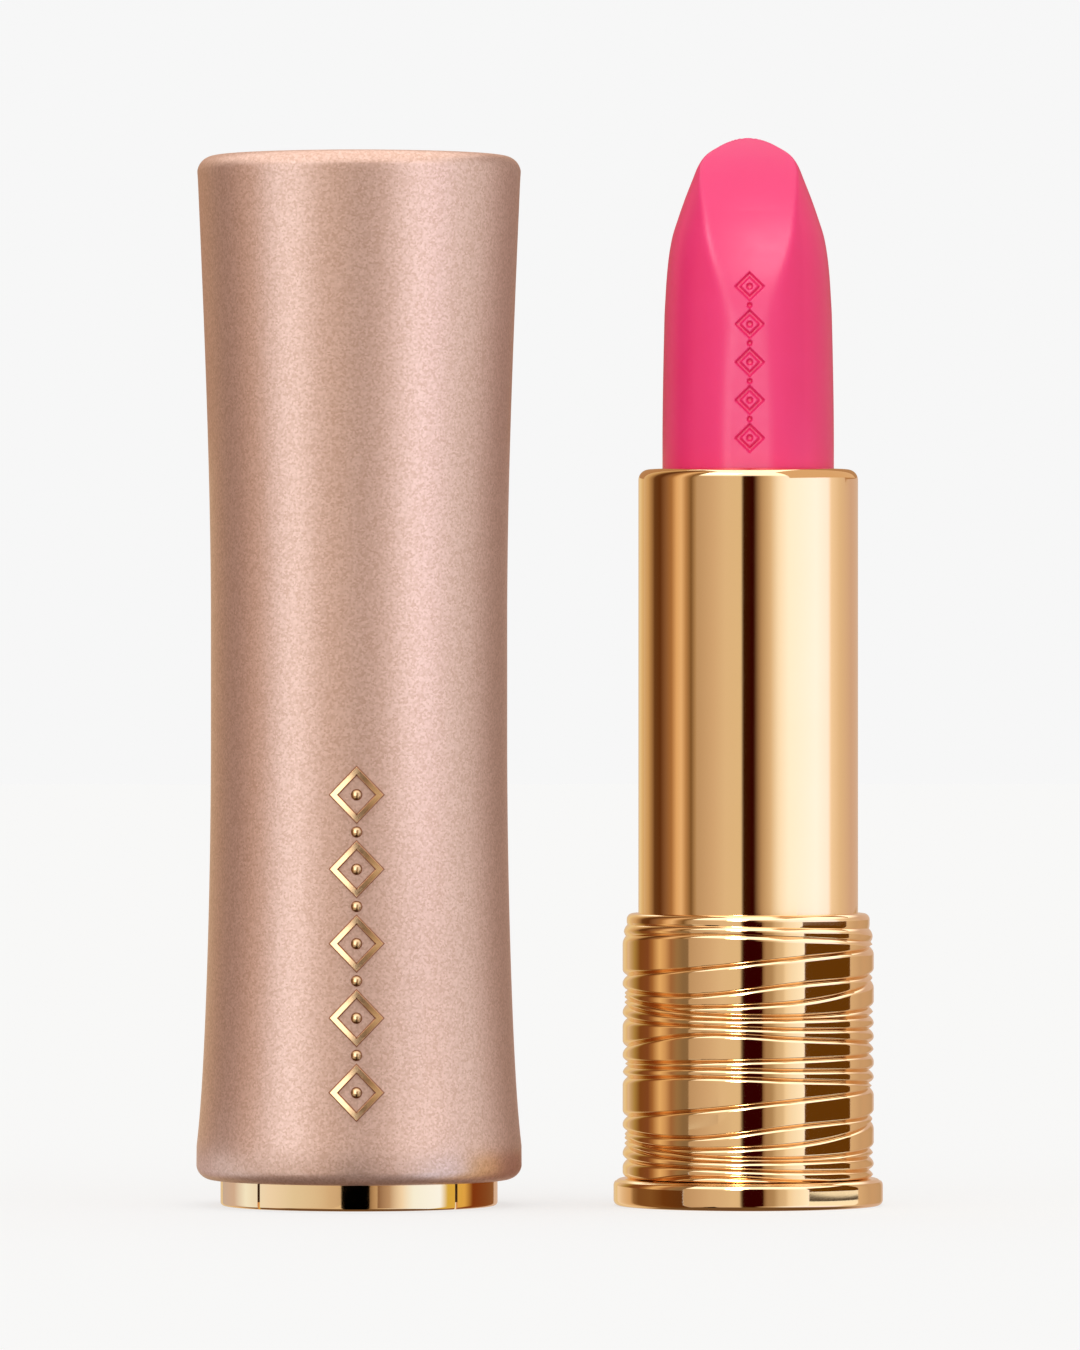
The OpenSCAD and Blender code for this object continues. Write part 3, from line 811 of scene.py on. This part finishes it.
# Colour of the studio round the horizon, by degrees from the camera's side, positive to the right
CARDS = [
    (-180, (0.70, 0.52, 0.40)), (-158, (0.84, 0.68, 0.38)), (-140, (0.66, 0.44, 0.20)),
    (-125, (0.26, 0.14, 0.05)), (-112, (0.12, 0.03, 0.01)), (-101, (0.22, 0.09, 0.03)),
    (-88, (0.62, 0.38, 0.18)), (-82, (0.94, 0.68, 0.40)), (-76, (0.66, 0.42, 0.22)),
    (-67, (0.18, 0.09, 0.03)), (-62, (0.30, 0.18, 0.08)), (-57, (0.54, 0.40, 0.26)),
    (-38, (0.68, 0.53, 0.37)), (-25, (0.77, 0.64, 0.46)), (-8.5, (0.78, 0.66, 0.46)),
    (-6.5, (0.04, 0.01, 0.00)), (5, (0.03, 0.00, 0.00)), (9, (0.28, 0.18, 0.10)),
    (13, (0.50, 0.36, 0.22)), (22, (0.74, 0.60, 0.42)), (31, (1.02, 1.02, 0.96)),
    (42, (1.20, 1.24, 1.35)), (75, (1.30, 1.32, 1.62)), (92, (1.20, 1.20, 1.40)),
    (97, (0.95, 0.84, 0.70)), (112, (0.79, 0.65, 0.48)), (136, (0.66, 0.49, 0.40)),
    (180, (0.70, 0.52, 0.40)),
]


def studio_world():
    """Striped studio: tall cards round the horizon, a bright sky above and a warm floor glow below."""
    world = bpy.data.worlds.new("studio")
    bpy.context.scene.world = world
    world.use_nodes = True
    tree = world.node_tree
    tree.nodes.clear()

    def add(kind, **settings):
        node = tree.nodes.new(kind)
        for key, value in settings.items():
            setattr(node, key, value)
        return node

    def math_node(kind, first, second):
        node = add("ShaderNodeMath", operation=kind)
        tree.links.new(first, node.inputs[0])
        if isinstance(second, float):
            node.inputs[1].default_value = second
        else:
            tree.links.new(second, node.inputs[1])
        return node.outputs[0]

    def ramp(value, stops):
        node = add("ShaderNodeValToRGB")
        node.color_ramp.interpolation = "LINEAR"
        elements = node.color_ramp.elements
        elements[0].position, elements[0].color = stops[0][0], (*stops[0][1], 1)
        elements[1].position, elements[1].color = stops[-1][0], (*stops[-1][1], 1)
        for place, colour in stops[1:-1]:
            elements.new(place).color = (*colour, 1)
        tree.links.new(value, node.inputs[0])
        return node.outputs[0]

    def mix(factor, first, second):
        node = add("ShaderNodeMix", data_type="RGBA")
        for source, index in ((factor, MIX_FACTOR), (first, MIX_FIRST), (second, MIX_SECOND)):
            if isinstance(source, tuple):
                node.inputs[index].default_value = (*source, 1)
            else:
                tree.links.new(source, node.inputs[index])
        return node.outputs[MIX_RESULT]

    def between(value, start, end):
        node = add("ShaderNodeMapRange", interpolation_type="SMOOTHSTEP")
        node.inputs["From Min"].default_value = start
        node.inputs["From Max"].default_value = end
        tree.links.new(value, node.inputs["Value"])
        return node.outputs["Result"]

    direction = add("ShaderNodeTexCoord").outputs["Generated"]
    split = add("ShaderNodeSeparateXYZ")
    tree.links.new(direction, split.inputs[0])
    # 0 is straight behind the camera's side (-Y), and +1 and -1 are straight behind the object
    turn = math_node("ARCTAN2", split.outputs["X"], math_node("MULTIPLY", split.outputs["Y"], -1.0))
    place = math_node("ADD", math_node("MULTIPLY", turn, 0.5 / math.pi), 0.5)
    lift = split.outputs["Z"]

    stops = [(0.5 + degrees / 360, colour) for degrees, colour in CARDS]
    with_sky = mix(between(lift, SKY_FROM, SKY_FULL), ramp(place, stops), SKY)
    drop = math_node("MULTIPLY", lift, -1.0)
    mirrored = mix(between(drop, GROUND_FROM, GROUND_FULL), with_sky, GROUND)
    path = add("ShaderNodeLightPath")
    soft = mix(path.outputs["Is Diffuse Ray"], mirrored, (SOFT, SOFT, SOFT))
    colour = mix(path.outputs["Is Camera Ray"], soft, (BACKDROP, BACKDROP, BACKDROP))
    background = add("ShaderNodeBackground")
    tree.links.new(colour, background.inputs["Color"])
    out = add("ShaderNodeOutputWorld")
    tree.links.new(background.outputs[0], out.inputs["Surface"])


def glow_material(name, colours, axis):
    """Self-lit material: one colour, or colours by place along an axis in millimetres."""
    n = Nodes(name, (0, 0, 0), 0.8)
    glow = n.add("ShaderNodeEmission")
    if isinstance(colours, dict):
        split = n.add("ShaderNodeSeparateXYZ")
        n.join(n.place, split.inputs[0])
        ramp = n.add("ShaderNodeValToRGB")
        first, last = min(colours), max(colours)
        n.join(n.remap(split.outputs[axis], 0, 1, first * MM, last * MM), ramp.inputs[0])
        for _ in range(len(colours) - 2):
            ramp.color_ramp.elements.new(0.5)
        for element, y in zip(ramp.color_ramp.elements, sorted(colours)):
            element.position = (y - first) / (last - first)
            element.color = (*colours[y], 1)
        n.join(ramp.outputs[0], glow.inputs["Color"])
    else:
        glow.inputs["Color"].default_value = (*colours, 1)
    n.join(glow.outputs[0], n.tree.nodes["Material Output"].inputs["Surface"])
    n.material.cycles.emission_sampling = "NONE"
    return n.material


def floor_material():
    """Matt part plus a glow that brings the open floor to the backdrop's brightness."""
    n = Nodes("pale_floor", (FLOOR_MATT,) * 3, 0.9)
    n.set(Specular_IOR_Level=0.0, Emission_Color=(1, 1, 1, 1))
    n.set(Emission_Strength=BACKDROP - FLOOR_MATT * FLOOR_LIGHT)
    n.material.cycles.emission_sampling = "NONE"
    return n.material


def make_floor():
    """Pale floor that runs into the backdrop, with a faint shade where something stands on it."""
    size = 3000.0
    corners = [(-size, -size, 0), (size, -size, 0), (size, size, 0), (-size, size, 0)]
    floor = finish_mesh("floor", corners, [(0, 1, 2, 3)])
    floor.data.materials.append(floor_material())
    floor.visible_glossy = False
    floor.visible_diffuse = False


def flag(name, corners, colour, axis="Y"):
    """Self-lit card that shows only in mirrored light."""
    card = finish_mesh(name, corners, [tuple(range(len(corners)))])
    card.data.materials.append(glow_material(name, colour, axis))
    card.visible_camera = False
    card.visible_diffuse = False
    card.visible_shadow = False


def upright_card(name, x, y, z, colour, axis="Y"):
    """Upright card from the first to the second value of x, y and z."""
    (x0, x1), (y0, y1), (z0, z1) = x, y, z
    flag(name, [(x0, y0, z0), (x1, y1, z0), (x1, y1, z1), (x0, y0, z1)], colour, axis)


def around(centre, turn, rise, distance):
    """Place at an angle from the camera's side, positive to the right, and an elevation."""
    turn, rise = math.radians(turn), math.radians(rise)
    flat = distance * math.cos(rise)
    return (
        centre[0] + flat * math.sin(turn), centre[1] - flat * math.cos(turn),
        centre[2] + distance * math.sin(rise),
    )


def area_light(name, target, view, size, radiance, colour, only):
    """Rectangular light on a target, seen from (turn, rise, distance), that reaches only some pieces."""
    data = bpy.data.lights.new(name, "AREA")
    data.shape = "RECTANGLE"
    data.size, data.size_y = (s * MM for s in size)
    data.energy = radiance * math.pi * data.size * data.size_y
    data.color = colour
    lamp = bpy.data.objects.new(name, data)
    place = around(target, *view)
    lamp.location = [c * MM for c in place]
    aim = Vector([b - a for a, b in zip(place, target)])
    lamp.rotation_euler = aim.to_track_quat("-Z", "Y").to_euler()
    lamp.visible_camera = False
    bpy.context.scene.collection.objects.link(lamp)
    group = bpy.data.collections.new(name + "_receivers")
    for obj in only:
        group.objects.link(obj)
    lamp.light_linking.receiver_collection = group


CAMERA_X = -14.69
EYE_Z = 37.4
DISTANCE = 778.0
LENS = 294.0


def make_camera():
    """Level camera in front, at the height of the object's middle."""
    data = bpy.data.cameras.new("camera")
    data.lens = LENS
    data.sensor_width = 36.0
    data.clip_start = 0.01
    data.clip_end = 20.0
    camera = bpy.data.objects.new("camera", data)
    camera.location = (CAMERA_X * MM, -DISTANCE * MM, EYE_Z * MM)
    camera.rotation_euler = (math.pi / 2, 0, 0)
    bpy.context.scene.collection.objects.link(camera)
    bpy.context.scene.camera = camera


studio_world()
make_floor()
make_camera()
bpy.context.scene.view_settings.view_transform = "Standard"

made = {node: piece for piece, node, *_ in PIECES}
satin = [made["cap_sleeve"], made["cap_button"]]
stick = [made["bullet"]]

cap_middle = (CAP_X, 0, CAP_TOP / 2)
cap_foot = (CAP_X, 0, 3)
stick_middle = (0, 0, 66)
lip_middle = (0, 0, TUBE_TOP)
skirt_middle = (0, 0, 10)
# Each light's name, target, view from the target (turn, rise, distance), size, radiance, colour and pieces
LIGHTS = [
    ("cap_left", cap_middle, (-52, 0, 450), (240, 700), 2.25, (0.68, 0.87, 1.0), satin),
    ("cap_right", cap_middle, (44, 0, 450), (200, 700), 1.12, (0.68, 0.87, 1.0), satin),
    ("cap_foot", cap_foot, (40, 6, 46), (22, 7), 2.6, (0.80, 0.93, 1.0), satin),
    ("cap_front", cap_middle, (-4, 5, 700), (300, 700), 0.27, (0.95, 0.95, 0.93), satin),
    ("stick_key", stick_middle, (-10, 40, 400), (150, 140), 7.2, (1, 0.97, 1.0), stick),
    ("stick_fill", stick_middle, (-5, 2, 500), (90, 200), 9.8, (1, 0.97, 1.0), stick),
    ("chain_key", cap_middle, (-20, 8, 450), (260, 300), 1.5, (1, 0.97, 0.92), [made["cap_ornament"]]),
    ("lip_key", lip_middle, (-34, 50, 300), (160, 80), 2.0, (1, 1, 0.95), [made["twist_tube"]]),
    ("spark", skirt_middle, (-12, 34, 400), (60, 200), 18.0, (1, 0.97, 0.9), [made["base_shell"]]),
    ("halo", skirt_middle, (-12, 34, 410), (130, 290), 2.6, (1, 0.85, 0.6), [made["base_shell"]]),
]
for light in LIGHTS:
    area_light(*light)

# Cards that the polished parts mirror. Those for the skirt end at the rim, so the tube doesn't see them.
rim_line = SKIRT_TOP - 1.0
upright_card("black_flag", (-3.5, 7.4), (-40, -40), (-2, rim_line + 0.2), BLACK)
upright_card("low_black_flag", (-3.5, 9.7), (-40.5, -40.5), (-10, 0.6), BLACK)
# The brown box at the right, with a separate wedge low down for the foot flange
flag("brown_flag", [
    (30, -28.4, 0.31), (30, 1.6, 0.45), (30, 1.6, rim_line + 0.3), (30, -28.4, rim_line + 0.1),
], BROWN)
flag("brown_wedge", [
    (30, -28.4, -1.30), (30, 1.6, -0.62), (30, 1.6, -0.14), (30, -28.4, -0.34),
], DARK_BROWN)
upright_card("cream_flag", (30.5, 30.5), (-29, 1.6), (-10, 0.4), (1.08, 1.10, 1.00))
upright_card("right_back_flag", (30, 30), (1.7, 62), (-10, rim_line + 0.2), {
    1.7: (0.72, 0.56, 0.38), 11: (0.60, 0.44, 0.29), 16: (0.62, 0.44, 0.28), 45: (0.54, 0.36, 0.20),
    62: (0.60, 0.44, 0.32),
})
# The skirt and the flange see the black card's right side fade out slowly
upright_card("fade_flag", (7.4, 44), (-40.2, -40.2), (-10, rim_line + 0.2), {
    7.4: (0.20, 0.11, 0.05), 9.5: (0.41, 0.28, 0.16), 13.4: (0.46, 0.34, 0.20), 16.6: (0.67, 0.55, 0.38),
    21.2: (0.76, 0.65, 0.48), 23.6: (0.95, 0.87, 0.70), 28.5: (1.00, 0.98, 0.88), 33: (1.02, 1.04, 0.96),
    44: (1.14, 1.18, 1.16),
}, "X")
# Between the cap and the base. The cap sees this one at its right
upright_card("cap_side_flag", (-13.6, -13.6), (-13, 6), (4, 82), {
    -13: (1.15, 1.20, 1.25), -7.5: (0.98, 1.05, 1.05), -4.9: (0.68, 0.64, 0.60), -1.7: (0.34, 0.26, 0.20),
    6: (0.34, 0.25, 0.20),
})
# The base sees these at its left: brown with one bright streak, which lies further back lower down
upright_card("base_side_flag", (-13.4, -13.4), (-13, 6), (rim_line, 82), {
    -13.0: (0.50, 0.36, 0.22), -12.6: (0.46, 0.32, 0.18), -11.2: (0.20, 0.11, 0.04),
    -9.6: (0.50, 0.30, 0.14), -8.2: (0.86, 0.62, 0.37), -7.0: (0.80, 0.53, 0.28),
    -5.6: (0.41, 0.21, 0.08), -4.0: (0.26, 0.13, 0.06), -2.4: (0.12, 0.04, 0.01),
    -0.5: (0.14, 0.06, 0.02), 0.5: (0.34, 0.20, 0.09), 2.5: (0.62, 0.42, 0.20), 6: (0.74, 0.56, 0.34),
})
upright_card("flange_side_flag", (-13.4, -13.4), (-13.5, 6), (-10, 1.6), {
    -13.5: (0.12, 0.045, 0.012), -8.7: (0.155, 0.053, 0.011), -6.1: (0.227, 0.106, 0.032),
    -3.4: (0.21, 0.093, 0.029), -2.2: (0.30, 0.17, 0.07), -1.2: (0.69, 0.48, 0.27), 4: (0.90, 0.75, 0.55),
    6: (0.90, 0.75, 0.55),
})
upright_card("base_side_low_flag", (-13.4, -13.4), (-13.5, 6), (1.6, rim_line), {
    -13.5: (0.26, 0.18, 0.10), -11.9: (0.26, 0.18, 0.10), -10.3: (0.33, 0.22, 0.11),
    -8.8: (0.36, 0.18, 0.08), -7.4: (0.67, 0.43, 0.21), -6.2: (0.82, 0.57, 0.28),
    -4.5: (0.38, 0.18, 0.06), -3.4: (0.22, 0.08, 0.03), -1.2: (0.21, 0.08, 0.02), 0.7: (0.42, 0.29, 0.09),
    4.4: (0.74, 0.58, 0.40), 6: (0.74, 0.56, 0.36),
})

# Round the collar: a black card in front, and a wall on each side
upright_card("collar_black_flag", (-36, -21.4), (-40, -40), (-40, 3.2), (0.0, 0.0, 0.0))
upright_card("collar_left_flag", (-50, -50), (-96, 30), (-10, 3.6), {
    -96: (0.62, 0.50, 0.36), -56: (0.69, 0.58, 0.43), -39: (0.75, 0.68, 0.54), -21: (0.80, 0.78, 0.66),
    -11: (0.90, 0.90, 0.86), -6: (0.90, 0.97, 0.98), -1: (0.95, 1.10, 1.17), 6: (0.66, 0.56, 0.53),
    30: (0.56, 0.47, 0.42),
})
upright_card("collar_right_flag", (-13.7, -13.7), (-52, 6), (-10, 3.7), {
    -52: (0.25, 0.14, 0.08), -33: (0.52, 0.39, 0.28), -23.5: (0.93, 0.91, 0.84), -18: (0.98, 1.21, 1.45),
    -10.4: (1.02, 1.28, 1.69), -8.8: (0.72, 0.56, 0.10), -5.2: (0.78, 0.51, 0.13), -3.4: (0.22, 0.05, 0.01),
    6: (0.28, 0.13, 0.05),
})
upright_card("flange_left_flag", (-13.3, -13.3), (-52, -13.5), (-10, 5.2), {
    -52: (0.77, 0.65, 0.46), -25: (0.70, 0.56, 0.39), -18: (0.62, 0.47, 0.32), -13.5: (0.54, 0.40, 0.26),
})
# Beside and behind the stick, so that its edges stay deep in colour
upright_card("stick_right_flag", (24, 24), (-30, 30), (54.6, 110), (0.74, 0.52, 0.32))
upright_card("stick_back_flag", (-60, 60), (30, 30), (53.6, 110), (0.48, 0.27, 0.13))
